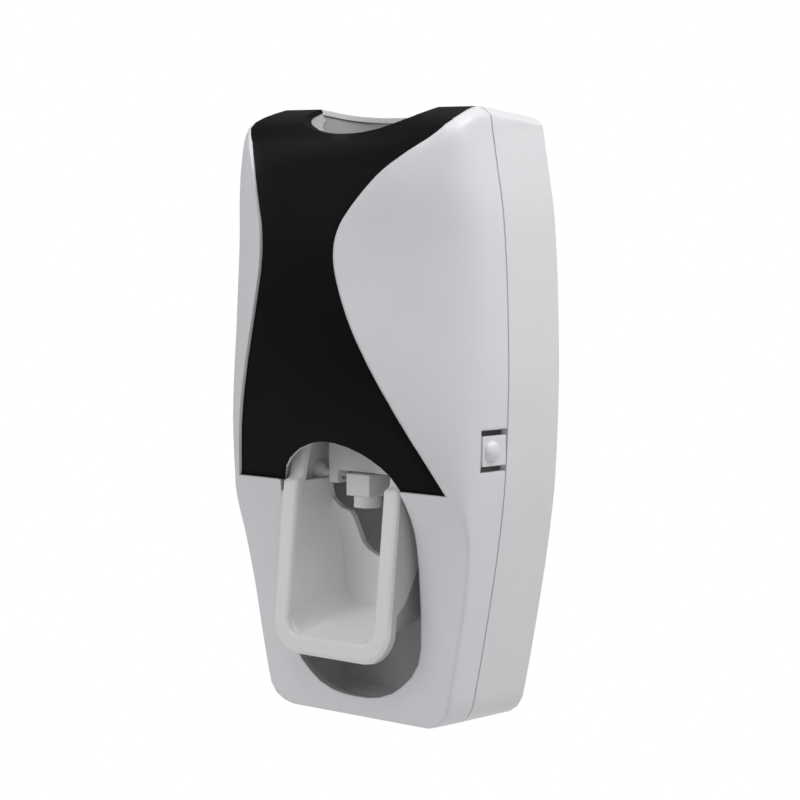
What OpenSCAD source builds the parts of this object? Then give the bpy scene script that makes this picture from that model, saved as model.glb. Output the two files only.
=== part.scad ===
// Wall-hung toothpaste dispenser with a push cup, a piston pump and a clip-off front cover.
// Bench frame: X right, Y towards the wall with 0 at the seam, Z up with 0 at the foot.
// The finished object is moved so that the wall face of the pad is the origin.

/* [Body] */
// outline seen from the front: height, half width
outline = [[0, 24.4], [0.8, 27.2], [2.4, 29.6], [5, 31.3], [10, 32.5], [20, 34.7], [30, 36.7],
    [40, 38.6], [50, 40.2], [60, 41.5], [70, 42.2], [80, 42.6], [90, 42.8], [100, 42.6],
    [110, 42.3], [120, 41.7], [130, 40.8], [140, 39.0], [150, 37.2], [153, 36.6], [155, 33.4]];
// depth of the rear shell behind the seam
rear_depth = 19.5; // [18.5:0.1:24]
// wall of the rear shell
rear_wall = 2.2; // [1.6:0.1:2.4]
// wall of the front shell
front_wall = 2.6; // [2.4:0.1:2.8]
// gap along the seam between the two shells
seam_gap = 0.3; // [0.3:0.05:0.6]
// fall of the rim from the seam to the wall side
rim_fall = 2.5; // [1:0.1:3]
// soft corner of the sloping rear rim: depth below the rim, half width
rim_rows = [[2.8, 37.5], [2, 37], [1.3, 36.3], [0.7, 35.4], [0.3, 34.5], [0, 33.4]];
// roof of the rear shell under the rim
roof_t = 1.4; // [1.2:0.1:2]
// half width of the tube entry
entry_half = 20.7; // [20.7:0.1:22]
// corner radius of the tube entry seen from above
entry_r = 9.4; // [7:0.1:11]
// lip of the roof along the back of the tube entry
entry_lip = 0.9; // [0.6:0.1:2]

/* [Front surface] */
// edge of the front face, crease below and inlay edge above: height, half width
edge_x_rows = [[50, 39.3], [55.5, 38.7], [60, 36.1], [69.7, 31.7], [82, 25.9], [92.3, 21],
    [102.5, 16.7], [112.8, 13.5], [117.9, 12.7], [123, 13], [128, 14.8], [138.4, 21.7],
    [143.5, 26.8], [147.6, 31.6], [150.7, 33.9], [153, 33.8], [155, 32.4]];
// edge of the front face: height, distance in front of the seam
edge_y_rows = [[0, 8.4], [2.4, 9.2], [10, 9.5], [34, 9.8], [44.5, 10.9], [50, 11.9], [55.5, 13.8],
    [60, 15.6], [69.7, 19.8], [76.9, 22.8], [87.1, 26.2], [97.4, 28.8], [107.6, 30.3],
    [117.9, 30.8], [123, 30.4], [128, 29.2], [133, 27.2], [138.4, 24.4], [143.5, 20.3],
    [147.6, 16], [150.7, 13], [152.6, 9], [154.1, 4.6], [155, 1.2]];
// middle of the front face: height, distance in front of the seam
mid_y_rows = [[0, 8.4], [2.4, 9.2], [10, 9.5], [34, 9.8], [44.5, 11], [50, 12.1], [55.5, 14],
    [60, 15.9], [70, 20.3], [77, 23.6], [87, 27.3], [97, 30], [108, 31.5], [118, 32],
    [128, 31.2], [138, 28.5], [143.5, 25.2], [147, 19.4], [148.6, 15.4], [150.7, 12.2],
    [152.6, 8.7], [154.1, 4.4], [155, 1.2]];
// soft corner between side wall and petal: height, distance in front of the seam
corner_y_rows = [[0, 8.4], [2.4, 9.2], [10, 9.5], [34, 9.8], [44.5, 10.9], [50, 11.9],
    [55.5, 12.9], [60, 13.5], [75, 13.6], [94, 12.8], [119, 12.8], [131, 13.6], [137, 14.2],
    [143.5, 13.6], [146.6, 13.2], [149.7, 11.2], [152.7, 6.5], [154.1, 3.4], [155, 0.9]];
// how far the two control points reach towards the soft corner
corner_pull = 0.92; // [0.8:0.01:0.95]
// crease inset from the side wall on the lower front
crease_in = 0.9; // [0.7:0.05:1.2]
// height of the straight lower edge of the dark inlay
inlay_z = 60; // [60:0.1:61]
// how far the inlay lies below the petals
inlay_recess = 0.8; // [0.5:0.05:1]
// thickness of the inlay
inlay_t = 0.9; // [0.7:0.05:1]
// gap round the edge of the inlay
inlay_gap = 0.1; // [0.05:0.01:0.2]
// how far the inlay stands past the shell along the dip in the rim
edge_over = 0.4; // [0.3:0.05:0.6]
// gap between the cup and the widest part of the lower opening
opening_gap = 2.3; // [2:0.1:2.6]
// lower opening in the front, right half seen from the front
opening_half = [[0, 5.2], [4, 5.3], [8, 5.9], [12.6, 7.5], [15.8, 9.6], [19.2, 12.5], [21.6, 16.1],
    [22.5, 20.5], [22.5, 48], [22.2, 53], [21.5, 57], [20.6, 60], [18.5, 63.7], [16.2, 65.9],
    [13.4, 67.7], [11, 69], [6.6, 70.5], [3, 71.2], [0, 71.4]];
// dip in the front of the top rim, right half seen from the front
notch_half = [[0, 148.4], [4, 148.5], [7.1, 148.8], [11, 149.5], [14.2, 150.5], [16.8, 151.5],
    [18.8, 152.6], [20, 153.8], [20.7, 155]];

/* [Latch] */
// lower edge of a latch tab
latch_z = 67.2; // [66:0.1:68]
// height of a latch tab
latch_h = 7.4; // [7:0.1:8]
// height of the slots above and below a tab
latch_slot = 1.5; // [1:0.1:2]
// length of a tab from root to seam
latch_len = 8.5; // [8:0.1:9]
// thickness of a tab
latch_t = 1.8; // [1.4:0.1:2]
// gap at the root and the end of a tab
latch_gap = 0.4; // [0.3:0.05:0.6]
// radius of the button dome on a tab
dome_r = 2.5; // [2:0.1:3]
// height of the button dome
dome_h = 1.4; // [1:0.1:1.6]
// distance of the dome centre in front of the seam
dome_y = 5.5; // [4.5:0.1:6]
// thickness of the tongue behind the rear shell
tongue_t = 1.5; // [1.2:0.1:1.8]
// reach of the tongue past the seam
tongue_reach = 4.5; // [3:0.1:6]

/* [Wall pad] */
// width of the foam pad
pad_w = 54; // [40:1:60]
// height of the foam pad
pad_h = 78; // [60:1:90]
// thickness of the foam pad
pad_t = 1.2; // [0.8:0.1:2]
// corner radius of the foam pad
pad_r = 6; // [3:0.5:10]
// height of the pad centre above the foot
pad_z = 88; // [80:1:95]

/* [Push cup] */
// outer width of the cup rim
cup_w = 40.4; // [38:0.1:40.6]
// width of the cup rim
rim_w = 5.3; // [4.5:0.1:5.5]
// depth of the cup rim
rim_d = 3; // [2.6:0.1:3.4]
// rounding of the cup rim
rim_r = 1.3; // [0.8:0.05:1.35]
// outer corner radius of the rim
rim_corner = 9; // [7:0.1:11]
// rim face at its lower end, in front of the seam
face_y = 20; // [19:0.1:20.5]
// height of that face point
face_z = 18; // [17:0.1:19]
// lean of the rim face towards the wall
face_lean = 5.98; // [5:0.01:6.2]
// lowest point of the rim below the face point
rim_drop = 1.7; // [1.2:0.1:2]
// length of the rim along its face
rim_len = 43.4; // [42:0.1:43.6]
// wall of the cup
cup_wall = 1.8; // [1.4:0.1:2]
// inner floor and back of the cup seen from the side: distance behind the seam, height
cup_inner = [[2.1, 27], [2.6, 28.4], [2.4, 34], [1.5, 41.4], [-0.6, 49], [-3.3, 56.1], [-4.2, 60]];
// floor of the cup at the rim
floor_z = 20.9; // [20:0.1:22]
// inner corner radius of the cup
cup_r = 5; // [4:0.1:6]
// cut-out in the back of the cup, right half seen from the front
cut_half = [[0, 39.7], [3, 40.2], [5.9, 41.5], [7.5, 43.4], [8.9, 49.8], [9.6, 51.4],
    [12.5, 52.2], [14.9, 54.8]];
// side arm of the lever seen from the side: distance behind the seam, height
arm_rows = [[-18.6, 26.2], [-18.1, 26.6], [-15.5, 29.2], [-12.9, 31.4], [-8.5, 39.2], [-5, 48],
    [-2.6, 56], [0, 61], [0.6, 70], [2.8, 78], [9.8, 85.4], [9.8, 88], [-2, 89], [-6.4, 86.4],
    [-7.4, 82], [-9.4, 72], [-11.6, 63], [-12.5, 58.4], [-15.6, 57]];
// thickness of a side arm
arm_t = 2; // [1.6:0.1:2.4]

/* [Lever motion] */
// height of the lever pivot
pivot_z = 84; // [84:0.1:84.5]
// pivot in front of the seam
pivot_y = 2; // [1.8:0.1:2.2]
// radius of a pivot pin
pivot_r = 1.5; // [1.2:0.05:1.6]
// running clearance round pins and piston
run_gap = 0.05; // [0.02:0.01:0.1]
// radius of the head of a pivot pin
pivot_head_r = 2.6; // [2.2:0.1:3]
// thickness of the head of a pivot pin
pivot_head_t = 1; // [0.8:0.1:1.2]
// drop of the drive pins below the pivot
drive_drop = 22.5; // [22.4:0.05:22.6]
// drive pins in front of the pivot
drive_y = 1.5; // [1.4:0.05:1.6]
// radius of a drive pin
drive_r = 1; // [0.8:0.05:1.1]
// gap between neighbouring moving pieces
side_gap = 0.3; // [0.3:0.05:0.5]

/* [Pump] */
// half width of the pump block
pump_half = 12.7; // [12:0.1:13]
// height of the pump axis
pump_z = 72.2; // [72:0.1:72.4]
// radius of the pump bore
bore_r = 9; // [8:0.1:9.1]
// front of the pump block behind the seam
pump_y0 = 3; // [2.8:0.1:3.2]
// back of the pump block behind the seam
pump_y1 = 14.5; // [14.4:0.1:14.8]
// end of the pump bore behind the seam
bore_y1 = 12.5; // [12.4:0.05:12.6]
// wall above and below the pump bore
pump_wall = 1; // [0.8:0.05:1.2]
// thickness of the pump cover
cover_t = 2.4; // [2:0.1:2.4]
// height of the top plate of the pump
plate_h = 6; // [5:0.1:6]
// front edge of the top plate ahead of the seam
plate_y = 12; // [10:0.1:12.5]
// radius of the inlet and outlet ports
port_r = 1.4; // [1:0.05:1.4]
// radius of the ducts between the ports
duct_r = 1.2; // [0.9:0.05:1.25]
// ports behind the seam
port_y = 10.8; // [10.6:0.05:10.85]
// half width of the spout arm
spout_half = 4; // [3.8:0.1:4.5]
// height of the spout arm
spout_h = 5.6; // [5:0.1:5.8]
// front end of the spout arm ahead of the seam
spout_y = 8.6; // [8.5:0.1:9.2]
// nozzle ahead of the seam
nozzle_y = 5; // [4.6:0.1:5]
// outer radius of the nozzle
nozzle_r = 3.5; // [3:0.1:3.6]
// bore radius of the nozzle
nozzle_bore = 2; // [1.5:0.1:2.2]
// length of the nozzle below the spout arm
nozzle_len = 3; // [2.5:0.1:3.2]
// radius of the outlet valve disc
out_valve_r = 2.9; // [2.6:0.05:3]
// thickness of both valve discs
valve_t = 1.1; // [0.8:0.05:1.2]
// radius of the inlet valve disc
in_valve_r = 4.1; // [3.6:0.1:4.4]
// length of the slit in a valve disc
slit_len = 3; // [2:0.1:3.4]
// width of the slit in a valve disc
slit_w = 0.3; // [0.2:0.05:0.5]

/* [Plunger] */
// front of the plunger head ahead of the seam
head_y = 6; // [5.9:0.05:6]
// thickness of the plunger head
head_t = 2; // [1.8:0.1:2]
// radius of the plunger stem
stem_r = 5; // [4:0.1:5.5]
// front of the piston behind the seam
piston_y = 3.4; // [3.3:0.05:3.5]
// thickness of the piston
piston_t = 2; // [1.8:0.1:2.1]
// radius of the piston
piston_r = 8.6; // [7.8:0.1:8.7]
// width of the seal
seal_w = 0.9; // [0.7:0.05:1]
// depth of the seal groove
seal_d = 1.4; // [1:0.1:1.8]
// width of a drive lug
lug_w = 3.2; // [2.8:0.1:3.4]
// lower end of a lug below its pin
lug_drop = 2.4; // [2.2:0.1:2.4]
// upper end of a lug above its pin
lug_rise = 2.4; // [2.2:0.1:2.4]
// depth of a drive lug from the front of the head
lug_d = 4.3; // [4.2:0.05:4.3]
// free way of a drive pin up and down in its slot
slot_free = 0.5; // [0.4:0.05:0.8]

/* [Tube seat] */
// tube axis behind the seam
tube_y = 1.6; // [1.4:0.05:1.7]
// outer radius of the tube socket
socket_or = 12.5; // [12.3:0.1:12.6]
// bore radius of the tube socket
socket_ir = 10.5; // [10.2:0.1:10.6]
// height of the tube socket
socket_h = 12; // [11:0.1:13]
// floor of the tube socket
socket_floor = 1.6; // [1.2:0.1:2]
// step from the socket bore in to the seat of the seal
seat_step = 0.6; // [0.4:0.1:1]
// radius of the hole in the socket floor
socket_hole = 3.6; // [3:0.1:3.6]
// height of the tube seal
seal_h = 4; // [3:0.1:5]
// radius of the hole in the tube seal
seal_hole = 5.5; // [4:0.1:6.5]
// gap between the seal and the socket
seal_gap = 0.1; // [0.05:0.01:0.2]

/* [Frame and screws] */
// lower edge of the frame plate
frame_z0 = 56; // [54:0.5:57]
// upper edge of the frame plate
frame_z1 = 104; // [102:0.5:108]
// thickness of the frame plate
frame_t = 2; // [1.6:0.1:2.2]
// thickness of a pivot cheek
cheek_t = 2.2; // [1.8:0.1:2.6]
// radius of the round end of a cheek
cheek_r = 5; // [4:0.1:5.2]
// lower edge of the spring ledge above the pivot
ledge_up = 14; // [13.5:0.1:14.5]
// thickness of the spring ledge
ledge_t = 2; // [1.5:0.1:2.5]
// lower pair of frame screws above the lower frame edge
screw_in = 4; // [3.5:0.1:6]
// radius of a screw thread
screw_r = 1.25; // [1:0.05:1.5]
// radius of a screw head
screw_head_r = 2.6; // [2.2:0.1:3]
// height of a screw head
screw_head_t = 1.4; // [1.2:0.1:2]
// length of a screw below its head
screw_len = 4; // [3:0.1:4.2]
// radius of a screw boss
boss_r = 3.4; // [3:0.1:4]
// half distance between the cover screws across
cover_screw_x = 10.4; // [10:0.1:10.6]
// cover screws above and below the pump axis
cover_screw_z = 5.2; // [5:0.1:5.4]
// radius of a cover screw
cover_screw_r = 0.9; // [0.7:0.05:1]
// radius of the head of a cover screw
cover_head_r = 1.5; // [1.3:0.05:1.6]
// height of the head of a cover screw
cover_head_t = 0.6; // [0.4:0.05:0.6]
// length of a cover screw below its head
cover_screw_len = 6.5; // [5:0.1:7]

/* [Return springs] */
// spring axis behind the pivot
spring_y = 9; // [8.8:0.1:9.2]
// spring axis inside the inner face of a side arm
spring_in = 0.9; // [0.8:0.05:1]
// mean radius of a return spring
coil_r = 2; // [1.8:0.05:2.1]
// wire radius of a return spring
wire_r = 0.4; // [0.3:0.05:0.45]
// curls of a return spring
curls = 6; // [4:1:6]
// half width of the heel pad under a spring
heel_half = 2.9; // [2.6:0.05:2.9]
// thickness of the heel pad
heel_t = 2.2; // [1.8:0.1:2.4]

/* [Hidden] */
$fn = 48;
small_fn = 24;
body_h = outline[len(outline) - 1][0];
wall_y = rear_depth + pad_t;
inner_back = rear_depth - rear_wall;
boss_h = inner_back - pump_y1 - frame_t;
plate_z = pump_z + bore_r + pump_wall;
block_z = pump_z - bore_r - pump_wall;
socket_z = plate_z + plate_h;
spout_z = block_z - spout_h;
duct_z = block_z - spout_h / 2;
arm_x = cup_w / 2 - arm_t;
cheek_x = cup_w / 2 + side_gap;
drive_z = pivot_z - drive_drop;
pin_y = pivot_y + drive_y;
ledge_z = pivot_z + ledge_up;
heel_z = pivot_z + 4;
coil_len = ledge_z - heel_z;
cheek_out = cheek_x + cheek_t;
spring_x = arm_x - spring_in;
screw_x = cheek_out + side_gap + screw_head_r;
frame_half = screw_x + boss_r;
cup_inside = cup_w / 2 - rim_w;
opening_grow = cup_w / 2 + opening_gap - opening_half[7][0];
seat_r = socket_ir - seat_step;
lug_x = pump_half - lug_w;
rim_tilt = atan(rim_fall / rear_depth);
far = 200;
steps = 8;
across = 6;
stations = [0, 0.8, 2.4, 5, 9, 18, 30, 40, 46, 50, 53.5, 57, 60, 64, 69, 74, 80, 86, 92, 98, 104,
    109, 114, 118, 122, 126, 130, 134, 138, 141, 144, 146.4, 148.4, 150.2, 151.8, 153, 154, 154.6, 155];

// smooth line through rows of [height, value]
function row_of(rows, z, i = 0) = i >= len(rows) - 2 || z <= rows[i + 1][0] ? i : row_of(rows, z, i + 1);
function rise(rows, i) = let (a = max(i - 1, 0), b = min(i + 1, len(rows) - 1))
    (rows[b][1] - rows[a][1]) / (rows[b][0] - rows[a][0]);
function value(rows, z) = let (i = row_of(rows, z), h = rows[i + 1][0] - rows[i][0],
    t = (z - rows[i][0]) / h)
    (2 * pow(t, 3) - 3 * t * t + 1) * rows[i][1] + (pow(t, 3) - 2 * t * t + t) * rise(rows, i) * h
    + (3 * t * t - 2 * pow(t, 3)) * rows[i + 1][1] + (pow(t, 3) - t * t) * rise(rows, i + 1) * h;
function cubic(a, b, c, d, t) = pow(1 - t, 3) * a + 3 * t * pow(1 - t, 2) * b + 3 * t * t * (1 - t) * c
    + pow(t, 3) * d;
function half_w(z) = value(outline, min(z, body_h));
function window_x() = half_w(latch_z) - 3 * front_wall;
function edge_x(z) = z <= edge_x_rows[0][0] ? half_w(z) - crease_in : value(edge_x_rows, z);

// the curved top is also lowered by the inset, the side walls are not
function lower(z) = let (t = min(max((z - 118) / 30, 0), 1)) t * t * (3 - 2 * t);
function half_section(z, inset) = let (zz = min(z + inset * lower(z), body_h),
    x = half_w(zz) - inset, ex = edge_x(zz), ey = -value(edge_y_rows, zz),
    my = -value(mid_y_rows, zz), cy = -value(corner_y_rows, zz),
    a = atan2(cy - ey, half_w(zz) - ex), b = atan(2 * (ey - my) / ex), h = (a + b) / 2,
    k = inset / cos((a - b) / 2), px = min(ex - k * sin(h), x - 0.5), py = ey + k * cos(h),
    ly = ey + inset * cos(a) + tan(a) * (x - ex + inset * sin(a)),
    s = [x, max(0.15 * ly, ly + 1)], c = [x, ly], e = [px, py], m = my + inset)
    concat([for (i = [0 : steps]) cubic(s, s + corner_pull * (c - s), e + corner_pull * (c - e), e, i / steps)],
        [for (i = [1 : across]) let (u = 1 - i / across) [px * u, py + (m - py) * (1 - u * u)]]);
function full_section(z, inset) = let (r = half_section(z, inset), n = len(r))
    concat([[r[0][0], 8]], r, [for (i = [n - 2 : -1 : 0]) [-r[i][0], r[i][1]]], [[-r[0][0], 8]]);
function inner_z(z, inset, top) = inset + z * (body_h - inset - top) / body_h;
function fade(z) = let (t = min(max((z - 145) / 8, 0), 1)) t * t * (3 - 2 * t);

// block inside the outer surface, its inset changing to another one at the top
module surface_block(inset, top) {
    rows = [for (z = stations) let (zi = inner_z(z, inset, top), k = inset + (top - inset) * fade(zi))
        [for (p = full_section(zi, k)) [p[0], p[1], zi]]];
    n = len(rows[0]);
    m = len(rows);
    polyhedron(
        points = concat([for (r = rows) each r], [[0, 4, rows[0][0][2]], [0, 4, rows[m - 1][0][2]]]),
        faces = concat(
            [for (j = [0 : n - 1]) [m * n, (j + 1) % n, j]],
            [for (j = [0 : n - 1]) [m * n + 1, (m - 1) * n + j, (m - 1) * n + (j + 1) % n]],
            [for (i = [0 : m - 2]) for (j = [0 : n - 1]) let (k = (j + 1) % n)
                each [[i * n + j, (i + 1) * n + k, (i + 1) * n + j], [i * n + j, i * n + k, (i + 1) * n + k]]]),
        convexity = 6);
}

module placed() {
    translate([0, -wall_y, -pad_z]) children();
}

// flat shape drawn in X and Z, given its span along Y
module slab_y(y0, y1) {
    translate([0, y1, 0]) rotate([90, 0, 0]) linear_extrude(y1 - y0) children();
}

// flat shape drawn in Y and Z, given its span along X
module slab_x(x0, x1) {
    translate([x0, 0, 0]) rotate([90, 0, 90]) linear_extrude(x1 - x0) children();
}

module rod_y(x, z, r, y0, y1, f = $fn) {
    translate([x, y1, z]) rotate([90, 0, 0]) cylinder(r = r, h = y1 - y0, $fn = f);
}

module rod_x(y, z, r, x0, x1, f = $fn) {
    translate([x0, y, z]) rotate([0, 90, 0]) cylinder(r = r, h = x1 - x0, $fn = f);
}

module rod_z(x, y, r, z0, z1, f = $fn) {
    translate([x, y, z0]) cylinder(r = r, h = z1 - z0, $fn = f);
}

module box(a, b) {
    translate(a) cube(b - a);
}

module both_sides() {
    children();
    mirror([1, 0, 0]) children();
}

module halves(half) {
    polygon(concat(half, [for (i = [len(half) - 1 : -1 : 0]) if (half[i][0] > 0.01) [-half[i][0], half[i][1]]]));
}

module inlay_shape(gap) {
    zs = concat([inlay_z + gap], [for (z = [inlay_z + 1.5 : 1.5 : body_h]) z], [body_h + 5]);
    halves([for (z = zs) [edge_x(min(z, body_h)) - gap, z]]);
}

module notch_shape(wider) {
    halves([for (p = concat(notch_half, [[notch_half[8][0], body_h + 5]])) let (u = p[0] / notch_half[8][0])
        [p[0] + wider * u, p[1] - wider * (1 - pow(u, 4))]]);
}

module opening_shape() {
    halves([for (p = opening_half) [p[0] + opening_grow * min(p[0] / opening_half[4][0], 1), p[1]]]);
}

module latch_window(side) {
    z0 = latch_z - latch_slot;
    z1 = latch_z + latch_h + latch_slot;
    mirror([side, 0, 0]) box([window_x(), -latch_len - seam_gap - latch_gap, z0], [far, far, z1]);
}

module front_shell() {
    color([0.93, 0.93, 0.92]) placed() {
        difference() {
            intersection() {
                surface_block(0, 0);
                box([-far, -far, -1], [far, -seam_gap / 2, far]);
            }
            surface_block(front_wall, front_wall);
            difference() {
                slab_y(-far, far) inlay_shape(0);
                surface_block(inlay_recess + inlay_t, inlay_t);
            }
            slab_y(-far, -1) opening_shape();
            slab_y(-far, far) notch_shape(edge_over);
            latch_window(0);
            latch_window(1);
        }
    }
}

module front_panel() {
    color([0.1, 0.1, 0.11]) placed() {
        difference() {
            intersection() {
                surface_block(inlay_recess, 0);
                slab_y(-far, -seam_gap / 2) inlay_shape(inlay_gap);
            }
            surface_block(inlay_recess + inlay_t, inlay_t);
            slab_y(-far, -1) opening_shape();
            slab_y(-far, far) notch_shape(0);
        }
    }
}

module latch_tab() {
    x = half_w(latch_z + latch_h / 2);
    tz = latch_z + 1.2;
    th = latch_h - 2.4;
    y0 = -latch_len - seam_gap;
    skin = [for (i = [0 : 4]) half_section(latch_z + latch_h / 2, 0)[i]];
    tx = x - rear_wall - side_gap - tongue_t - 0.3;
    placed() {
        intersection() {
            translate([0, 0, latch_z]) linear_extrude(latch_h)
                polygon(concat([[x, 0]], skin, [for (i = [len(skin) - 1 : -1 : 0]) skin[i] - [latch_t, 0]], [[x - latch_t, 0]]));
            box([window_x(), y0, 0], [far, -latch_gap, far]);
        }
        translate([x - 0.05, -dome_y, latch_z + latch_h / 2]) rotate([0, 90, 0]) rotate_extrude($fn = 40)
            polygon(concat([[0, -0.8], [dome_r, -0.8]],
                [for (a = [0 : 15 : 90]) [dome_r * cos(a), dome_h * sin(a)]]));
        box([tx, y0 + 2.5, tz], [x - latch_t + 0.2, -3, tz + th]);
        box([tx, -4, tz], [tx + tongue_t, tongue_reach, tz + th]);
    }
}

module latch_tab_left() {
    color([0.93, 0.93, 0.92]) mirror([1, 0, 0]) latch_tab();
}

module latch_tab_right() {
    color([0.93, 0.93, 0.92]) latch_tab();
}

module rear_outline(inset, top) {
    halves([for (z = stations) let (zi = inset + z * (body_h - inset - top) / body_h)
        [half_w(min(zi + (inset > 0 ? lower(zi) * top : 0), body_h)) - inset, zi]]);
}

module screw_spots() {
    for (x = [-screw_x, screw_x]) for (z = [frame_z0 + screw_in, frame_z1 - screw_in])
        translate([x, 0, z]) children();
}

// everything under the sloping rim, lowered by a drop
module under_rim(drop) {
    translate([0, 0, body_h - drop]) rotate([-rim_tilt, 0, 0]) slab_y(-rear_depth, 2 * rear_depth)
        halves(concat([[far, -far], [far, -rim_rows[0][0] - 2]], [for (p = rim_rows) [p[1], -p[0]]]));
}

module entry_shape() {
    y = inner_back - entry_lip;
    translate([-entry_half, -entry_r]) square([2 * entry_half, y]);
    translate([entry_r - entry_half, -entry_r]) square([2 * (entry_half - entry_r), y + entry_r]);
    for (x = [entry_r - entry_half, entry_half - entry_r])
        translate([x, y - entry_r]) circle(r = entry_r, $fn = 64);
}

module rear_shell() {
    color([0.93, 0.93, 0.92]) placed() {
        difference() {
            intersection() {
                slab_y(seam_gap / 2, rear_depth) rear_outline(0, 0);
                under_rim(0);
            }
            intersection() {
                slab_y(-5, inner_back) rear_outline(rear_wall, roof_t);
                under_rim(roof_t);
            }
            translate([0, 0, body_h - 20]) linear_extrude(25) entry_shape();
        }
        difference() {
            screw_spots() rod_y(0, 0, boss_r, inner_back - boss_h, inner_back + 0.5);
            screw_spots() rod_y(0, 0, screw_r, -10, pump_y1 + screw_len);
        }
        both_sides() slab_x(frame_half + 1, frame_half + 2.6)
            polygon([[inner_back + 0.1, 20], [inner_back + 0.1, 50], [inner_back - 4, 46], [inner_back - 4, 24]]);
    }
}

module wall_pad() {
    color([0.75, 0.75, 0.74]) placed() {
        translate([0, rear_depth, pad_z]) rotate([-90, 0, 0]) linear_extrude(pad_t) {
            square([pad_w - 2 * pad_r, pad_h], center = true);
            square([pad_w, pad_h - 2 * pad_r], center = true);
            for (x = [-1, 1]) for (y = [-1, 1])
                translate([x * (pad_w / 2 - pad_r), y * (pad_h / 2 - pad_r)]) circle(r = pad_r);
        }
    }
}

module pump_frame() {
    color([0.86, 0.87, 0.87]) placed() {
        difference() {
            union() {
                difference() {
                    box([-frame_half, pump_y1, frame_z0], [frame_half, pump_y1 + frame_t, frame_z1]);
                    screw_spots() rod_y(0, 0, screw_r, 0, far);
                }
                both_sides() {
                    slab_x(cheek_x, cheek_out) {
                        translate([-pivot_y, pivot_z]) circle(r = cheek_r);
                        polygon([[-pivot_y, pivot_z - cheek_r], [pump_y1 + 0.1, pivot_z - 9],
                            [pump_y1 + 0.1, ledge_z + ledge_t], [3, ledge_z + ledge_t], [-pivot_y, pivot_z + cheek_r]]);
                    }
                    box([socket_or + 0.4, 3, ledge_z], [cheek_x + 0.1, pump_y1 + 0.1, ledge_z + ledge_t]);
                    box([pump_half + side_gap, pump_y1 - 2, frame_z0 + 2], [pump_half + side_gap + 1.6, pump_y1 + 0.1, frame_z1 - 2]);
                }
            }
            both_sides() rod_x(-pivot_y, pivot_z, pivot_r, 0, far, small_fn);
        }
    }
}

module frame_screws() {
    color([0.72, 0.73, 0.74]) placed() {
        screw_spots() {
            rod_y(0, 0, screw_r, pump_y1, pump_y1 + screw_len, small_fn);
            difference() {
                rod_y(0, 0, screw_head_r, pump_y1 - screw_head_t, pump_y1, small_fn);
                translate([0, pump_y1 - screw_head_t + 0.2, 0]) cube([3.2, 1.2, 0.7], center = true);
                translate([0, pump_y1 - screw_head_t + 0.2, 0]) cube([0.7, 1.2, 3.2], center = true);
            }
        }
    }
}

module cover_spots() {
    for (x = [-cover_screw_x, cover_screw_x]) for (z = [-cover_screw_z, cover_screw_z])
        translate([x, 0, pump_z + z]) children();
}

module pump_body() {
    color([0.9, 0.91, 0.91]) placed() {
        difference() {
            union() {
                box([-pump_half, pump_y0, block_z], [pump_half, pump_y1, plate_z + 0.1]);
                box([-pump_half, -plate_y, plate_z], [pump_half, pump_y1, socket_z]);
                box([-spout_half, -spout_y, spout_z], [spout_half, pump_y1, block_z]);
            }
            rod_y(0, pump_z, bore_r, -far, bore_y1, 64);
            rod_z(0, -nozzle_y, nozzle_bore, -far, duct_z + port_r + 0.2, small_fn);
            rod_z(0, -nozzle_y, out_valve_r, -far, spout_z + valve_t, small_fn);
            rod_y(0, duct_z, duct_r, -nozzle_y, port_y, small_fn);
            rod_z(0, port_y, port_r, duct_z - port_r, plate_z + plate_h / 2 + port_r, small_fn);
            rod_y(0, plate_z + plate_h / 2, duct_r, tube_y, port_y, small_fn);
            rod_z(0, tube_y, port_r + 0.6, plate_z + plate_h / 2 - port_r, socket_z + 1, small_fn);
            rod_z(0, tube_y, in_valve_r, socket_z - valve_t, socket_z + 1, small_fn);
            cover_spots() rod_y(0, 0, cover_screw_r, 0, pump_y0 - cover_t + cover_screw_len, small_fn);
        }
    }
}

module pump_cover() {
    color([0.84, 0.85, 0.85]) placed() {
        difference() {
            box([-pump_half, pump_y0 - cover_t, block_z], [pump_half, pump_y0, plate_z]);
            rod_y(0, pump_z, stem_r + run_gap, -far, far);
            both_sides() box([lug_x - 2 * side_gap, -far, 0], [far, far, drive_z + lug_rise + side_gap]);
            cover_spots() rod_y(0, 0, cover_screw_r, -10, far, small_fn);
            cover_spots() rod_y(0, 0, cover_head_r, -10, pump_y0 - cover_t + cover_head_t, small_fn);
        }
    }
}

module cover_screws() {
    color([0.72, 0.73, 0.74]) placed() {
        y = pump_y0 - cover_t;
        cover_spots() difference() {
            union() {
                rod_y(0, 0, cover_screw_r, y + cover_head_t / 2, y + cover_screw_len, small_fn);
                rod_y(0, 0, cover_head_r, y + 0.05, y + cover_head_t, small_fn);
            }
            translate([0, y, 0]) cube([2.2, 0.5, 0.5], center = true);
        }
    }
}

module tube_socket() {
    color([0.88, 0.89, 0.89]) placed() translate([0, tube_y, socket_z]) {
        difference() {
            cylinder(r = socket_or, h = socket_h, $fn = 72);
            translate([0, 0, socket_floor]) cylinder(r = seat_r, h = far, $fn = 72);
            translate([0, 0, socket_floor + seal_h]) cylinder(r = socket_ir, h = far, $fn = 72);
            translate([0, 0, -1]) cylinder(r = socket_hole, h = far, $fn = small_fn);
        }
    }
}

module tube_seal() {
    color([0.6, 0.61, 0.62]) placed() translate([0, tube_y, socket_z + socket_floor]) {
        difference() {
            cylinder(r = seat_r - seal_gap, h = seal_h, $fn = 72);
            translate([0, 0, -1]) cylinder(r = socket_hole, h = far, $fn = small_fn);
            translate([0, 0, seal_h / 3]) cylinder(r = seal_hole, h = far);
        }
    }
}

module valve_disc(r) {
    difference() {
        cylinder(r = r, h = valve_t, $fn = small_fn);
        cube([slit_len, slit_w, 4 * valve_t], center = true);
    }
}

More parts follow.
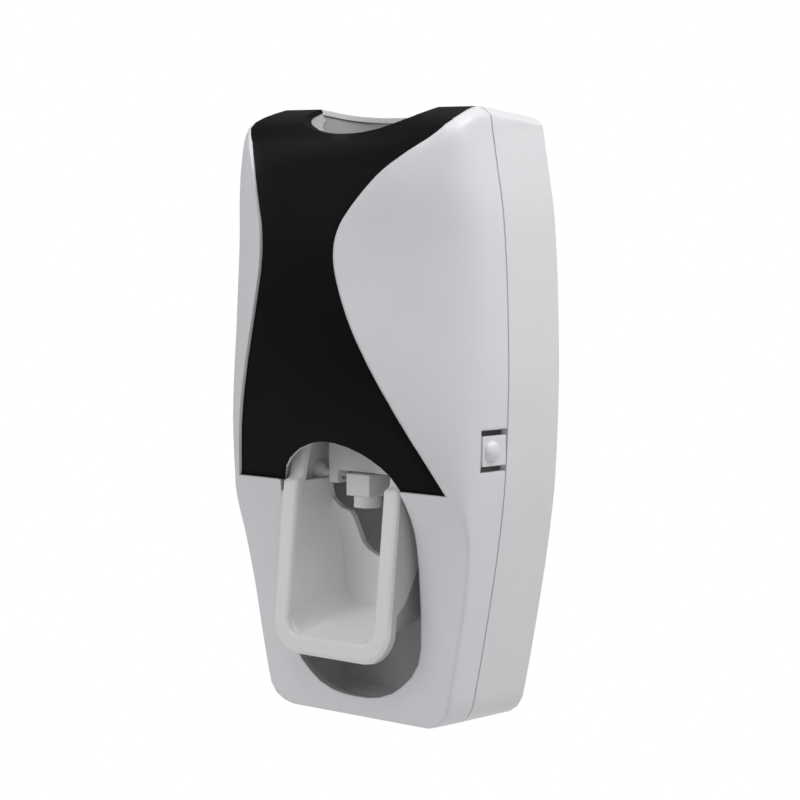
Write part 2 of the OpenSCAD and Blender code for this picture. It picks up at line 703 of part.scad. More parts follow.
module inlet_valve() {
    color([0.5, 0.52, 0.55]) placed() translate([0, tube_y, socket_z - valve_t]) valve_disc(in_valve_r);
}

module outlet_valve() {
    color([0.5, 0.52, 0.55]) placed() translate([0, -nozzle_y, spout_z]) valve_disc(out_valve_r);
}

module nozzle() {
    color([0.9, 0.91, 0.91]) placed() {
        difference() {
            rod_z(0, -nozzle_y, nozzle_r, spout_z - nozzle_len, spout_z);
            rod_z(0, -nozzle_y, nozzle_bore, -far, far, small_fn);
        }
    }
}

module plunger() {
    color([0.92, 0.93, 0.93]) placed() {
        difference() {
            union() {
                box([-pump_half, -head_y, block_z + side_gap], [pump_half, -head_y + head_t, plate_z - side_gap]);
                rod_y(0, pump_z, stem_r, -head_y + 1, piston_y + 0.1);
                rod_y(0, pump_z, piston_r, piston_y, piston_y + piston_t);
                both_sides() box([lug_x, -head_y, drive_z - lug_drop], [pump_half, -head_y + lug_d, drive_z + lug_rise]);
            }
            rod_y(0, pump_z, far, piston_y + (piston_t - seal_w) / 2, piston_y + (piston_t + seal_w) / 2);
            both_sides() {
                rod_x(-pin_y, drive_z + slot_free, drive_r + run_gap, 0, far, small_fn);
                rod_x(-pin_y, drive_z - slot_free, drive_r + run_gap, 0, far, small_fn);
                box([0, -pin_y - drive_r - run_gap, drive_z - slot_free], [far, -pin_y + drive_r + run_gap, drive_z + slot_free]);
            }
        }
        rod_y(0, pump_z, piston_r - seal_d, piston_y, piston_y + piston_t);
    }
}

module plunger_seal() {
    color([0.2, 0.2, 0.21]) placed() {
        difference() {
            rod_y(0, pump_z, bore_r - run_gap, piston_y + (piston_t - seal_w) / 2, piston_y + (piston_t + seal_w) / 2, 64);
            rod_y(0, pump_z, piston_r - seal_d, -far, far);
        }
    }
}

module rim_profile() {
    translate([0, rim_r]) square([rim_w, rim_d - rim_r]);
    translate([rim_r, 0]) square([rim_w - 2 * rim_r, rim_d]);
    translate([rim_r, rim_r]) circle(r = rim_r, $fn = 20);
    translate([rim_w - rim_r, rim_r]) circle(r = rim_r, $fn = 20);
}

module cup_rim() {
    cz = rim_corner - rim_drop;
    cx = cup_w / 2 - rim_corner;
    translate([0, -face_y, face_z]) rotate([-face_lean, 0, 0]) {
        both_sides() {
            translate([cup_w / 2 - rim_w, 0, cz]) linear_extrude(rim_len - rim_corner) rim_profile();
            translate([cx, 0, cz]) rotate([-90, 0, 0]) rotate_extrude(angle = 90)
                translate([rim_corner - rim_w, 0]) rim_profile();
        }
        translate([-cx, 0, rim_w - rim_drop]) rotate([0, 90, 0]) linear_extrude(2 * cx) rim_profile();
    }
}

// scoop seen along its sloping floor: half width, corner radius
module scoop(half, r) {
    translate([-half + r, 0]) square([2 * (half - r), 60]);
    translate([-half, r]) square([2 * half, 60]);
    translate([-half + r, r]) circle(r = r);
    translate([half - r, r]) circle(r = r);
}

module cup_form(wall) {
    half = cup_inside + wall;
    slope = atan((cup_inner[0][1] - floor_z) / (cup_inner[0][0] + face_y));
    front = wall > 0 ? 1.4 : -6;
    lean = tan(face_lean);
    intersection() {
        slab_x(-half, half) polygon(concat(
            [[-face_y + front, floor_z - wall - (6 - wall) * tan(slope)]],
            [for (p = cup_inner) p + [wall, p == cup_inner[0] ? -wall : 0]],
            [[cup_inner[6][0] + wall + (wall > 0 ? 0 : 4), wall > 0 ? 60 : 90]],
            [[-face_y + front + (60 - face_z) * lean, wall > 0 ? 60 : 90]]));
        translate([0, -face_y, floor_z - wall]) rotate([slope - 90, 0, 0]) translate([0, 0, -10])
            linear_extrude(60) mirror([0, 1]) scoop(half, cup_r + wall);
    }
}

module push_lever() {
    color([0.93, 0.93, 0.92]) placed() {
        difference() {
            union() {
                cup_rim();
                cup_form(cup_wall);
                both_sides() {
                    slab_x(arm_x, cup_w / 2) polygon(arm_rows);
                    box([cup_inside + cup_wall - 0.1, -13, 50], [arm_x + 0.1, -4, 50 + cup_wall]);
                    box([cup_inside + cup_wall - 0.1, -14, 40], [arm_x + 0.1, -8.4, 40 + cup_wall]);
                    box([spring_x - heel_half, 4.2, heel_z - heel_t], [cup_w / 2 - 0.1, 9.8, heel_z]);
                }
            }
            intersection() {
                cup_form(0);
                box([-far, -far, 0], [far, far, far]);
            }
            slab_y(-8, 10) halves(concat([for (p = cut_half) [min(p[0], cup_inside), p[1]]], [[cup_inside, pump_z]]));
            both_sides() {
                rod_x(-pivot_y, pivot_z, pivot_r + run_gap, 0, far, small_fn);
                rod_x(-pin_y, drive_z, drive_r, 0, far, small_fn);
            }
        }
    }
}

module drive_pin() {
    placed() rod_x(-pin_y, drive_z, drive_r, lug_x - 0.2, cup_w / 2 - 0.1, small_fn);
}

module drive_pin_left() {
    color([0.75, 0.76, 0.77]) mirror([1, 0, 0]) drive_pin();
}

module drive_pin_right() {
    color([0.75, 0.76, 0.77]) drive_pin();
}

module pivot_pin() {
    placed() {
        rod_x(-pivot_y, pivot_z, pivot_r, arm_x - 0.6, cheek_out, small_fn);
        rod_x(-pivot_y, pivot_z, pivot_head_r, cheek_out, cheek_out + pivot_head_t, small_fn);
    }
}

module pivot_pin_left() {
    color([0.75, 0.76, 0.77]) mirror([1, 0, 0]) pivot_pin();
}

module pivot_pin_right() {
    color([0.75, 0.76, 0.77]) pivot_pin();
}

// centre line of the spring wire, rising along its axis
rings = curls * 8;
wire_z0 = heel_z + side_gap + wire_r;
wire_z1 = ledge_z - wire_r;
function wire_at(i) = let (t = i / rings, a = 360 * curls * t)
    [spring_x + coil_r * cos(a), spring_y - pivot_y + coil_r * sin(a), wire_z0 + (wire_z1 - wire_z0) * t];
function wire_dir(i) = let (d = wire_at(i + 1) - wire_at(i - 1)) d / norm(d);
wire_gap = (wire_z1 - wire_z0) / curls - 2 * wire_r;
echo(str("least gap between curls of a return spring ", wire_gap, " mm"));

module return_spring() {
    pts = [for (i = [0 : rings]) let (c = wire_at(i), d = wire_dir(i), u = [cos(360 * curls * i / rings), sin(360 * curls * i / rings), 0], v = cross(d, u))
        for (j = [0 : 5]) c + wire_r * (cos(60 * j) * u + sin(60 * j) * v)];
    placed() polyhedron(points = pts,
        faces = concat([[5, 4, 3, 2, 1, 0]], [[for (j = [0 : 5]) rings * 6 + j]],
            [for (i = [0 : rings - 1]) for (j = [0 : 5]) let (k = (j + 1) % 6)
                each [[i * 6 + j, i * 6 + k, (i + 1) * 6 + k], [i * 6 + j, (i + 1) * 6 + k, (i + 1) * 6 + j]]]),
        convexity = 10);
}

module return_spring_left() {
    color([0.7, 0.71, 0.72]) mirror([1, 0, 0]) return_spring();
}

module return_spring_right() {
    color([0.7, 0.71, 0.72]) return_spring();
}

front_shell();
front_panel();
latch_tab_left();
latch_tab_right();
rear_shell();
wall_pad();
pump_frame();
frame_screws();
pump_body();
pump_cover();
cover_screws();
tube_socket();
tube_seal();
inlet_valve();
outlet_valve();
nozzle();
plunger();
plunger_seal();
push_lever();
drive_pin_left();
drive_pin_right();
pivot_pin_left();
pivot_pin_right();
return_spring_left();
return_spring_right();
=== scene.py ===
import math

import bmesh
import bpy
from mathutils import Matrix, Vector


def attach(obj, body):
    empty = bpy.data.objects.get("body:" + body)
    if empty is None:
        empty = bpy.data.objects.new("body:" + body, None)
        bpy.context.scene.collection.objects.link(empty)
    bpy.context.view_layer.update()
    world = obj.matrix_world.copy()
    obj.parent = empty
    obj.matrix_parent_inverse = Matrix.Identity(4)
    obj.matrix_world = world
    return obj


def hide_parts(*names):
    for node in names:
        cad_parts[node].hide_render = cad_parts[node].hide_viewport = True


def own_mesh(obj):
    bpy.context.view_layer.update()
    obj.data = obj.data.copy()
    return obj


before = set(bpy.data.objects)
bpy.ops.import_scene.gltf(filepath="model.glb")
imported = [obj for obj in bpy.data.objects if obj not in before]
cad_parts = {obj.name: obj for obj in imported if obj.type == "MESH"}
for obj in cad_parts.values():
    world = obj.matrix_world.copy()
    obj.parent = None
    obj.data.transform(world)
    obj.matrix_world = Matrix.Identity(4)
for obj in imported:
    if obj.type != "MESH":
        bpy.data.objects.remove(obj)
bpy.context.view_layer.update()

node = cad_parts


# Front cover: one injection moulding in white ABS, with two raised petals, a dip in the
# top rim and the U-shaped opening for the push cup. It sits on the rear shell. Its inner
# faces round the opening and beside the tube entry carry painted shade, a darker grey.
def moulded(name, colour, dark, rough, grain=0.03, sheen_spot=0.02, wear=0.04,
            specular=0.5, edge_round=0.0003):
    """Moulded plastic: faint flow marks, fine grain, and edges that are soft and slightly rubbed."""
    mat = bpy.data.materials.new(name)
    mat.use_nodes = True
    tree = mat.node_tree
    shader = tree.nodes["Principled BSDF"]
    place = tree.nodes.new("ShaderNodeTexCoord")

    flow = tree.nodes.new("ShaderNodeTexNoise")
    flow.inputs["Scale"].default_value = 38.0
    flow.inputs["Detail"].default_value = 3.0
    flow.inputs["Distortion"].default_value = 0.6
    tree.links.new(place.outputs["Object"], flow.inputs["Vector"])
    tone = tree.nodes.new("ShaderNodeValToRGB")
    tone.color_ramp.elements[0].position = 0.32
    tone.color_ramp.elements[0].color = (*dark, 1)
    tone.color_ramp.elements[1].position = 0.68
    tone.color_ramp.elements[1].color = (*colour, 1)
    tree.links.new(flow.outputs["Fac"], tone.inputs["Fac"])

    shape = tree.nodes.new("ShaderNodeNewGeometry")
    edge = tree.nodes.new("ShaderNodeMapRange")
    edge.inputs["From Min"].default_value = 0.54
    edge.inputs["From Max"].default_value = 0.66
    edge.inputs["To Min"].default_value = 0.0
    edge.inputs["To Max"].default_value = wear
    tree.links.new(shape.outputs["Pointiness"], edge.inputs["Value"])
    rubbed = [min(1.0, channel * 1.2 + 0.06) for channel in colour]
    worn = tree.nodes.new("ShaderNodeMix")
    worn.data_type = "RGBA"
    worn.inputs["B"].default_value = (*rubbed, 1)
    tree.links.new(edge.outputs["Result"], worn.inputs["Factor"])
    tree.links.new(tone.outputs["Color"], worn.inputs["A"])
    tree.links.new(worn.outputs["Result"], shader.inputs["Base Color"])

    patch = tree.nodes.new("ShaderNodeTexNoise")
    patch.inputs["Scale"].default_value = 95.0
    patch.inputs["Detail"].default_value = 5.0
    tree.links.new(place.outputs["Object"], patch.inputs["Vector"])
    gloss = tree.nodes.new("ShaderNodeMapRange")
    gloss.inputs["To Min"].default_value = rough - sheen_spot
    gloss.inputs["To Max"].default_value = rough + sheen_spot
    tree.links.new(patch.outputs["Fac"], gloss.inputs["Value"])
    tree.links.new(gloss.outputs["Result"], shader.inputs["Roughness"])

    pores = tree.nodes.new("ShaderNodeTexNoise")
    pores.inputs["Scale"].default_value = 2600.0
    pores.inputs["Detail"].default_value = 2.0
    tree.links.new(place.outputs["Object"], pores.inputs["Vector"])
    bump = tree.nodes.new("ShaderNodeBump")
    bump.inputs["Strength"].default_value = grain
    bump.inputs["Distance"].default_value = 0.0002
    tree.links.new(pores.outputs["Fac"], bump.inputs["Height"])
    soft_edge = tree.nodes.new("ShaderNodeBevel")
    soft_edge.samples = 6
    soft_edge.inputs["Radius"].default_value = edge_round
    tree.links.new(soft_edge.outputs["Normal"], bump.inputs["Normal"])
    tree.links.new(bump.outputs["Normal"], shader.inputs["Normal"])
    shader.inputs["IOR"].default_value = 1.5
    shader.inputs["Specular IOR Level"].default_value = specular
    return mat


def smooth_shading(angle):
    """Joins the split corners of a mesh and shades all edges below an angle smoothly."""
    group = bpy.data.node_groups.new("smooth_shading", "GeometryNodeTree")
    group.interface.new_socket("Geometry", in_out="INPUT", socket_type="NodeSocketGeometry")
    group.interface.new_socket("Geometry", in_out="OUTPUT", socket_type="NodeSocketGeometry")
    given = group.nodes.new("NodeGroupInput")
    result = group.nodes.new("NodeGroupOutput")
    plain = group.nodes.new("GeometryNodeRemoveAttribute")
    plain.inputs["Name"].default_value = "custom_normal"
    joined = group.nodes.new("GeometryNodeMergeByDistance")
    joined.inputs["Distance"].default_value = 0.000002
    bend = group.nodes.new("GeometryNodeInputMeshEdgeAngle")
    below = group.nodes.new("FunctionNodeCompare")
    below.data_type = "FLOAT"
    below.operation = "LESS_THAN"
    below.inputs["B"].default_value = math.radians(angle)
    faces = group.nodes.new("GeometryNodeSetShadeSmooth")
    faces.domain = "FACE"
    edges = group.nodes.new("GeometryNodeSetShadeSmooth")
    edges.domain = "EDGE"
    group.links.new(given.outputs[0], plain.inputs["Geometry"])
    group.links.new(plain.outputs["Geometry"], joined.inputs["Geometry"])
    group.links.new(joined.outputs["Geometry"], faces.inputs["Geometry"])
    group.links.new(faces.outputs["Geometry"], edges.inputs["Geometry"])
    group.links.new(bend.outputs["Unsigned Angle"], below.inputs["A"])
    group.links.new(below.outputs["Result"], edges.inputs["Shade Smooth"])
    group.links.new(edges.outputs["Geometry"], result.inputs[0])
    return group


smooth = smooth_shading(32.0)


def shade_smoothly(obj):
    obj.modifiers.new("smooth_shading", "NODES").node_group = smooth


def finish_node(name, mat):
    """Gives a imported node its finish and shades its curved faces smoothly."""
    obj = node[name]
    obj.data.materials.clear()
    obj.data.materials.append(mat)
    for face in obj.data.polygons:
        face.material_index = 0
    shade_smoothly(obj)


def combine(tree, operation, a, b=0.0):
    """One arithmetic step between two sockets or numbers."""
    knot = tree.nodes.new("ShaderNodeMath")
    knot.operation = operation
    for socket, given in zip(knot.inputs, (a, b)):
        if isinstance(given, float):
            socket.default_value = given
        else:
            tree.links.new(given, socket)
    return knot.outputs[0]


def paint_in_shade(mat, tone, place_rule):
    """Painted shade: mixes a darker tone into the colour where place_rule, from position and normal, marks
    the shaded faces.
    """
    tree = mat.node_tree
    shader = tree.nodes["Principled BSDF"]
    own_colour = shader.inputs["Base Color"].links[0].from_socket
    place = tree.nodes.new("ShaderNodeTexCoord")
    point = tree.nodes.new("ShaderNodeSeparateXYZ")
    facing = tree.nodes.new("ShaderNodeSeparateXYZ")
    tree.links.new(place.outputs["Object"], point.inputs["Vector"])
    tree.links.new(place.outputs["Normal"], facing.inputs["Vector"])
    shaded = tree.nodes.new("ShaderNodeMix")
    shaded.data_type = "RGBA"
    shaded.inputs["B"].default_value = (*tone, 1)
    tree.links.new(place_rule(tree, point.outputs, facing.outputs), shaded.inputs["Factor"])
    tree.links.new(own_colour, shaded.inputs["A"])
    tree.links.new(shaded.outputs["Result"], shader.inputs["Base Color"])


def shaded_cover_faces(tree, point, facing):
    """Where the cover gets painted shade: inner faces below the opening's arch, and its walls beside the
    tube entry.
    """
    arch_height = -0.0165
    entry_foot = 0.056
    half_width = 0.0215
    outwards = combine(tree, "MULTIPLY", point["X"], facing["X"])
    for axis in ("Y", "Z"):
        outwards = combine(tree, "ADD", outwards, combine(tree, "MULTIPLY", point[axis], facing[axis]))
    inner_face = combine(tree, "LESS_THAN", outwards, 0.0)
    below_arch = combine(tree, "LESS_THAN", point["Z"], arch_height)
    low = combine(tree, "MULTIPLY", inner_face, below_arch)
    beside_entry = combine(tree, "GREATER_THAN", point["Z"], entry_foot)
    middle = combine(tree, "LESS_THAN", combine(tree, "ABSOLUTE", point["X"]), half_width)
    return combine(tree, "MULTIPLY", middle, combine(tree, "MAXIMUM", low, beside_entry))


cover_colours = ((0.85, 0.838, 0.875), (0.825, 0.813, 0.85))
cover_rough = 0.38
cover_white = moulded("cover_white_abs", *cover_colours, cover_rough, edge_round=0.0009)
# Painted shade: the cover's inner faces round the opening and by the tube entry are darkened to grey.
paint_in_shade(cover_white, (0.42, 0.417, 0.423), shaded_cover_faces)
finish_node("front_shell", cover_white)


# Dark inlay: a thin black moulding that lies in the recess between the petals
# of the cover. Satin, with a soft grain.
black = moulded("black_inlay", (0.0062, 0.0062, 0.0065), (0.0048, 0.0048, 0.005), 0.5,
                grain=0.05, wear=0.01, specular=0.06)
finish_node("front_panel", black)


# Latch tabs: springy tongues cut free in the sides of the cover, each with a
# round button to press. The same white plastic as the cover.
white = moulded("white_abs", *cover_colours, cover_rough, edge_round=0.0005)
for name in ("latch_tab_left", "latch_tab_right"):
    finish_node(name, white)


# Rear shell: a deep white tray that carries the pump and hangs on the wall.
# Injection moulded, in nearly the same white as the cover.
white_back = moulded("white_abs_back", (0.85, 0.838, 0.867), (0.825, 0.813, 0.842), cover_rough)
finish_node("rear_shell", white_back)


# Tube well: a thin wall under the rim that keeps the tube upright, taken as moulded
# with the rear shell. It follows the rounded entry, and its mid grey is painted shade for the shaded inside
# of the entry.
# Its lengths are in millimetres: y from the seam, z from the foot.
seam_to_wall = 20.7
foot_to_pad = 88.0
well_half_width = 21.0
well_front = 0.6
well_back = 16.7
well_corner = 9.7
well_wall = 0.45
well_foot = 118.0
corner_steps = 24
roof_at_seam = 153.5
rim_fall = 2.5
rim_depth = 19.5


def spot(x, y, z):
    """Point given in millimetres from the seam and the foot, in the frame's metres."""
    return Vector((x / 1000, (y - seam_to_wall) / 1000, (z - foot_to_pad) / 1000))


def skin(name, rings, mat):
    """A closed piece drawn over a row of rings of points."""
    mesh = bpy.data.meshes.new(name)
    shape = bmesh.new()
    rows = [[shape.verts.new(point) for point in ring] for ring in rings]
    shape.faces.new(rows[0])
    shape.faces.new(rows[-1])
    for one, two in zip(rows, rows[1:]):
        for k in range(len(one)):
            after = (k + 1) % len(one)
            shape.faces.new((one[k], one[after], two[after], two[k])).smooth = True
    bmesh.ops.recalc_face_normals(shape, faces=shape.faces)
    shape.to_mesh(mesh)
    shape.free()
    mesh.materials.append(mat)
    obj = bpy.data.objects.new(name, mesh)
    bpy.context.scene.collection.objects.link(obj)
    return obj


def well_line(grow):
    """The well from above, from its left front edge round the back to its right front edge."""
    reach = well_half_width + grow
    back = well_back + grow
    corner = well_corner + grow
    points = [(-reach, well_front)]
    for k in range(corner_steps + 1):
        angle = math.radians(180 - 90 * k / corner_steps)
        points.append((-reach + corner + corner * math.cos(angle), back - corner + corner * math.sin(angle)))
    return points + [(-x, y) for x, y in reversed(points)]


def roof(y):
    """Height of the well's upper edge, which follows the sloping rim."""
    return roof_at_seam - rim_fall * y / rim_depth


well_rings = []
for inner, outer in zip(well_line(0.0), well_line(well_wall)):
    well_rings.append([spot(*inner, well_foot), spot(*inner, roof(inner[1])),
                       spot(*outer, roof(outer[1])), spot(*outer, well_foot)])
# Painted shade: the well's mid grey stands for the shade inside the tube entry.
well_shade_grey = moulded("well_painted_shade", (0.52, 0.518, 0.525), (0.49, 0.488, 0.495), 0.6, grain=0.1, wear=0.0)
tube_well = skin("tube_well", well_rings, well_shade_grey)
shade_smoothly(tube_well)
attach(tube_well, "housing")


# Wall pad: a flat piece of closed-cell foam with adhesive on both faces,
# pressed on the flat back of the tray.
foam = moulded("pad_foam", (0.55, 0.55, 0.54), (0.47, 0.47, 0.46), 0.85, grain=0.5, wear=0.0)
finish_node("wall_pad", foam)


# Pump frame, pump cover and tube socket: pale grey mouldings. The frame has two
# cheeks for the pivot pins and ledges for the springs, and is held by four screws.
pale_grey = moulded("pale_grey_plastic", (0.72, 0.72, 0.72), (0.68, 0.68, 0.68), 0.5,
                    grain=0.08, edge_round=0.0004)
for name in ("pump_frame", "pump_cover", "tube_socket"):
    finish_node(name, pale_grey)


# Pump body with its spout arm, the nozzle and the plunger: off-white mouldings.
# The plunger slides in the body and is moved through its two lugs.
pump_white = moulded("pump_plastic", (0.84, 0.84, 0.83), (0.80, 0.80, 0.79), 0.45,
                     grain=0.06, edge_round=0.0005)
for name in ("pump_body", "nozzle", "plunger"):
    finish_node(name, pump_white)


# Seals and valve discs: soft mouldings with a matt, slightly grainy skin, pale for
# the tube seal and the valves, dark for the ring on the plunger.
silicone = moulded("pale_silicone", (0.45, 0.47, 0.49), (0.40, 0.42, 0.44), 0.6, grain=0.15, wear=0.0)
for name in ("tube_seal", "inlet_valve", "outlet_valve"):
    finish_node(name, silicone)
dark_rubber = moulded("seal_rubber", (0.05, 0.05, 0.055), (0.035, 0.035, 0.04), 0.65, grain=0.2, wear=0.02)
finish_node("plunger_seal", dark_rubber)


# Push cup and lever: one white moulding with a rounded rim, hung on two pivot pins.
# Its outer sides behind the rim carry painted shade, a darker white, for the shade inside
# the cover's opening. The drive pins carry the same white, as the pin in the photo does.
def outer_flank(tree, point, facing):
    """Where the lever gets painted shade: outer sides of the cup and the arms, behind the leaning rim."""
    least_side = 0.006
    rim_lean = 0.105
    behind_rim = -0.0322
    sideways = combine(tree, "GREATER_THAN", combine(tree, "MULTIPLY", point["X"], facing["X"]), least_side)
    depth = combine(tree, "SUBTRACT", point["Y"], combine(tree, "MULTIPLY", point["Z"], rim_lean))
    return combine(tree, "MULTIPLY", sideways, combine(tree, "GREATER_THAN", depth, behind_rim))


lever_white = moulded("lever_white", (0.91, 0.895, 0.895), (0.885, 0.87, 0.87), 0.36, edge_round=0.0006)
# Painted shade: the outer sides of the cup and arms behind the rim are darkened.
paint_in_shade(lever_white, (0.56, 0.552, 0.552), outer_flank)
for name in ("push_lever", "drive_pin_left", "drive_pin_right"):
    finish_node(name, lever_white)


# Rim shoulders: at its upper ends the rim turns back and runs on as the rounded front
# of each arm, moulded with the lever. It passes a quarter millimetre behind the cover.
# Each row is the front and the back of the side view, as (y, z) in millimetres.
shoulder_rows = [
    ((-15.90, 56.00), (-13.30, 56.0)),
    ((-15.80, 58.00), (-13.10, 57.6)),
    ((-15.68, 59.00), (-12.90, 58.6)),
    ((-15.66, 59.48), (-12.75, 59.0)),
    ((-15.45, 59.80), (-12.70, 59.2)),
    ((-15.10, 60.05), (-12.60, 59.4)),
    ((-14.70, 60.25), (-12.50, 59.7)),
    ((-14.30, 60.42), (-12.40, 60.0)),
    ((-13.95, 60.62), (-12.20, 60.4)),
    ((-13.70, 60.88), (-12.10, 60.9)),
    ((-13.55, 61.30), (-11.95, 61.5)),
    ((-13.42, 62.20), (-11.70, 62.5)),
    ((-13.25, 63.50), (-11.40, 63.9)),
    ((-13.05, 65.50), (-10.90, 66.0)),
    ((-12.60, 68.50), (-10.00, 69.0)),
    ((-11.90, 71.50), (-9.30, 72.0)),
    ((-11.00, 74.00), (-8.80, 74.6)),
    ((-9.90, 75.80), (-8.40, 76.2)),
]
shoulder_inside = 14.87
shoulder_outside = 20.23
shoulder_rounding = 1.3
rounding_steps = 7


def shoulder_section():
    """Across the shoulder: distance from the middle plane, and depth behind the front."""
    corner = []
    for k in range(rounding_steps + 1):
        angle = math.pi / 2 * k / rounding_steps
        corner.append((shoulder_inside + shoulder_rounding * (1 - math.cos(angle)),
                       shoulder_rounding * (1 - math.sin(angle))))
    return corner + [(shoulder_inside + shoulder_outside - x, depth) for x, depth in reversed(corner)]


def shoulder_rings(hand):
    rings = []
    for front, back in shoulder_rows:
        thick = math.dist(front, back)
        ring = []
        for x, depth in shoulder_section():
            share = depth / thick
            y = front[0] + share * (back[0] - front[0])
            z = front[1] + share * (back[1] - front[1])
            ring.append(spot(hand * x, y, z))
        ring.append(spot(hand * shoulder_outside, *back))
        ring.append(spot(hand * shoulder_inside, *back))
        rings.append(ring)
    return rings


for side, hand in (("left", -1), ("right", 1)):
    shoulder = skin("rim_shoulder_" + side, shoulder_rings(hand), lever_white)
    shade_smoothly(shoulder)
    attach(shoulder, "lever")


# Pin bosses: each drive pin stands in a flared boss on the inner face of its arm,
# moulded with the lever. Each row is the distance from the middle plane and the
# radius in millimetres, from the arm to the tip.
boss_rows = [(18.3, 3.0), (17.6, 2.9), (17.0, 2.45), (16.5, 1.95),
             (16.1, 1.65), (15.7, 1.5), (15.5, 1.2), (15.45, 1.0)]
pin_y = -3.5
pin_z = 61.5
boss_turns = 40


def boss_rings(hand):
    rings = []
    for x, radius in boss_rows:
        ring = []
        for k in range(boss_turns):
            angle = 2 * math.pi * k / boss_turns
            ring.append(spot(hand * x, pin_y + radius * math.cos(angle), pin_z + radius * math.sin(angle)))
        rings.append(ring)
    return rings


for side, hand in (("left", -1), ("right", 1)):
    boss = skin("pin_boss_" + side, boss_rings(hand), lever_white)
    shade_smoothly(boss)
    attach(boss, "lever")


# Pivot pins and screws: bright steel, drawn or turned. The pins stand in the cheeks
# of the frame, and the screws hold the frame and the pump cover.
def turned_steel(name):
    """Steel with a fine unevenness in its tone, its gloss and its surface."""
    colour = (0.55, 0.56, 0.57)
    shade = [channel * 0.82 for channel in colour]
    mat = bpy.data.materials.new(name)
    mat.use_nodes = True
    tree = mat.node_tree
    shader = tree.nodes["Principled BSDF"]
    place = tree.nodes.new("ShaderNodeTexCoord")
    lines = tree.nodes.new("ShaderNodeTexNoise")
    lines.inputs["Scale"].default_value = 900.0
    lines.inputs["Detail"].default_value = 4.0
    tree.links.new(place.outputs["Object"], lines.inputs["Vector"])
    tone = tree.nodes.new("ShaderNodeValToRGB")
    tone.color_ramp.elements[0].color = (*shade, 1)
    tone.color_ramp.elements[1].color = (*colour, 1)
    tree.links.new(lines.outputs["Fac"], tone.inputs["Fac"])
    tree.links.new(tone.outputs["Color"], shader.inputs["Base Color"])
    gloss = tree.nodes.new("ShaderNodeMapRange")
    gloss.inputs["To Min"].default_value = 0.20
    gloss.inputs["To Max"].default_value = 0.40
    tree.links.new(lines.outputs["Fac"], gloss.inputs["Value"])
    tree.links.new(gloss.outputs["Result"], shader.inputs["Roughness"])
    bump = tree.nodes.new("ShaderNodeBump")
    bump.inputs["Strength"].default_value = 0.1
    bump.inputs["Distance"].default_value = 0.0001
    tree.links.new(lines.outputs["Fac"], bump.inputs["Height"])
    tree.links.new(bump.outputs["Normal"], shader.inputs["Normal"])
    shader.inputs["Metallic"].default_value = 1.0
    return mat


steel = turned_steel("bright_steel")
for name in ("frame_screws", "cover_screws", "pivot_pin_left", "pivot_pin_right"):
    finish_node(name, steel)


# Return springs: drawn steel wire, six curls between the lever's heel and the ledge
# of the frame.
spring_x = 17.3
spring_y = 7.0
spring_low = 88.7
spring_high = 97.6
curls = 6
curl_radius = 2.0
steps_in_curl = 32
wire_radius = 0.4
wire_sides = 12


def wire_rings(hand):
    rings = []
    steps = curls * steps_in_curl
    for i in range(steps + 1):
        turn = 2 * math.pi * i / steps_in_curl
        height = spring_low + (spring_high - spring_low) * i / steps
        ring = []
        for j in range(wire_sides):
            around = 2 * math.pi * j / wire_sides
            reach = curl_radius + wire_radius * math.cos(around)
            x = spring_x + reach * math.cos(turn)
            y = spring_y + reach * math.sin(turn)
            ring.append(spot(hand * x, y, height + wire_radius * math.sin(around)))
        rings.append(ring)
    return rings


for side, hand in (("left", -1), ("right", 1)):
    spring = skin("spring_wire_" + side, wire_rings(hand), steel)
    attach(spring, "housing")
    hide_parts("return_spring_" + side)
    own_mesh(spring)


# Studio: three large soft lamps, a surround that is white to the camera and through
# clear material and dimmer as a light, and a plain floor well below the object, which
# is white to the camera.
def surround():
    world = bpy.data.worlds.new("studio")
    bpy.context.scene.world = world
    world.use_nodes = True
    tree = world.node_tree
    tree.nodes.clear()
    out = tree.nodes.new("ShaderNodeOutputWorld")
    seen = tree.nodes.new("ShaderNodeBackground")
    seen.inputs["Color"].default_value = (1, 1, 1, 1)
    seen.inputs["Strength"].default_value = 1.0
    lit = tree.nodes.new("ShaderNodeBackground")
    lit.inputs["Color"].default_value = (1, 1, 1, 1)
    lit.inputs["Strength"].default_value = 0.36
    path = tree.nodes.new("ShaderNodeLightPath")
    in_view = combine(tree, "MAXIMUM", path.outputs["Is Camera Ray"], path.outputs["Is Transmission Ray"])
    mix = tree.nodes.new("ShaderNodeMixShader")
    tree.links.new(in_view, mix.inputs["Fac"])
    tree.links.new(lit.outputs[0], mix.inputs[1])
    tree.links.new(seen.outputs[0], mix.inputs[2])
    tree.links.new(mix.outputs[0], out.inputs["Surface"])


def soft_lamp(name, place, aim, size, watts):
    lamp = bpy.data.lights.new(name, "AREA")
    lamp.shape = "DISK"
    lamp.size = size
    lamp.energy = watts
    obj = bpy.data.objects.new(name, lamp)
    bpy.context.scene.collection.objects.link(obj)
    obj.location = place
    obj.rotation_euler = (Vector(aim) - Vector(place)).to_track_quat("-Z", "Y").to_euler()


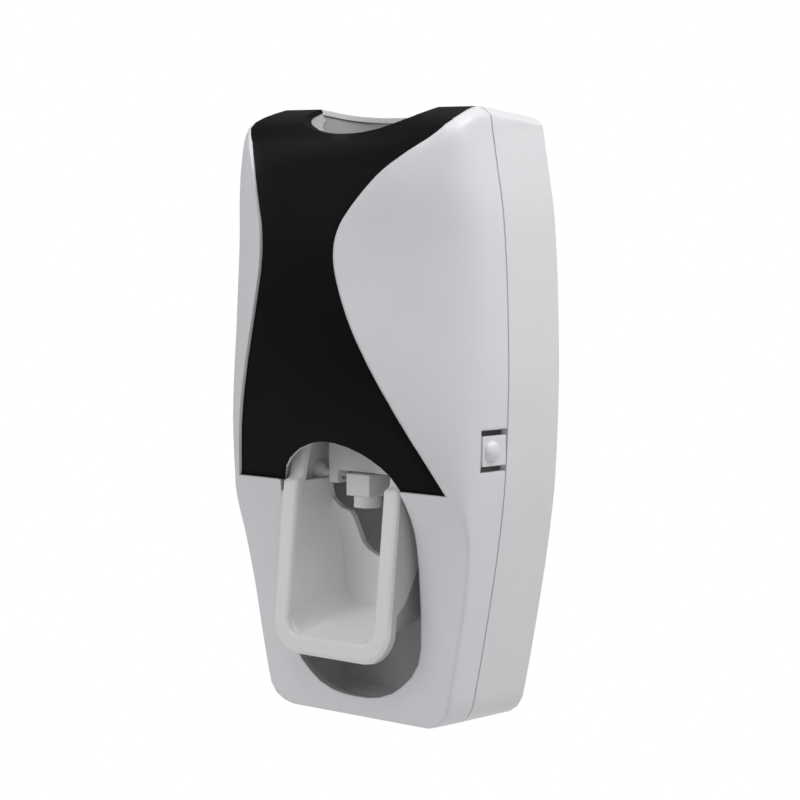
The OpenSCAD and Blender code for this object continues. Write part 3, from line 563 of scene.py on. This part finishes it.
def pale_floor(height, half_width, front, back):
    corners = [(-half_width, front, height), (half_width, front, height),
               (half_width, back, height), (-half_width, back, height)]
    mesh = bpy.data.meshes.new("floor")
    mesh.from_pydata(corners, [], [(0, 1, 2, 3)])
    floor = bpy.data.objects.new("floor", mesh)
    bpy.context.scene.collection.objects.link(floor)
    mat = bpy.data.materials.new("pale_floor")
    mat.use_nodes = True
    tree = mat.node_tree
    matt = tree.nodes["Principled BSDF"]
    matt.inputs["Base Color"].default_value = (0.86, 0.86, 0.86, 1)
    matt.inputs["Roughness"].default_value = 0.8
    glow = tree.nodes.new("ShaderNodeEmission")
    glow.inputs["Color"].default_value = (1, 1, 1, 1)
    glow.inputs["Strength"].default_value = 1.0
    path = tree.nodes.new("ShaderNodeLightPath")
    mix = tree.nodes.new("ShaderNodeMixShader")
    tree.links.new(path.outputs["Is Camera Ray"], mix.inputs["Fac"])
    tree.links.new(matt.outputs[0], mix.inputs[1])
    tree.links.new(glow.outputs[0], mix.inputs[2])
    tree.links.new(mix.outputs[0], tree.nodes["Material Output"].inputs["Surface"])
    mesh.materials.append(mat)


surround()
soft_lamp("over", place=(0.18, -0.54, 1.05), aim=(0, -0.02, 0.03), size=0.5, watts=2.0)
soft_lamp("key", place=(0.42, 0.14, 0.62), aim=(0, -0.02, 0.02), size=0.4, watts=3.3)
soft_lamp("fill", place=(-0.50, -0.98, 0.55), aim=(0, -0.03, -0.02), size=0.9, watts=3.3)
pale_floor(height=-0.30, half_width=1.6, front=-0.3, back=1.2)


# Camera: a long lens from the right, slightly above the middle.
# Placed to match the view of the photo.
eye = bpy.data.cameras.new("eye")
eye.lens = 119.7
eye.sensor_width = 36.0
eye.clip_start = 0.05
camera = bpy.data.objects.new("eye", eye)
camera.location = (0.4614, -0.5187, 0.0503)
camera.rotation_euler = (math.radians(85.15), 0.0, math.radians(42.4))
bpy.context.scene.collection.objects.link(camera)
bpy.context.scene.camera = camera
bpy.context.scene.view_settings.view_transform = "Standard"
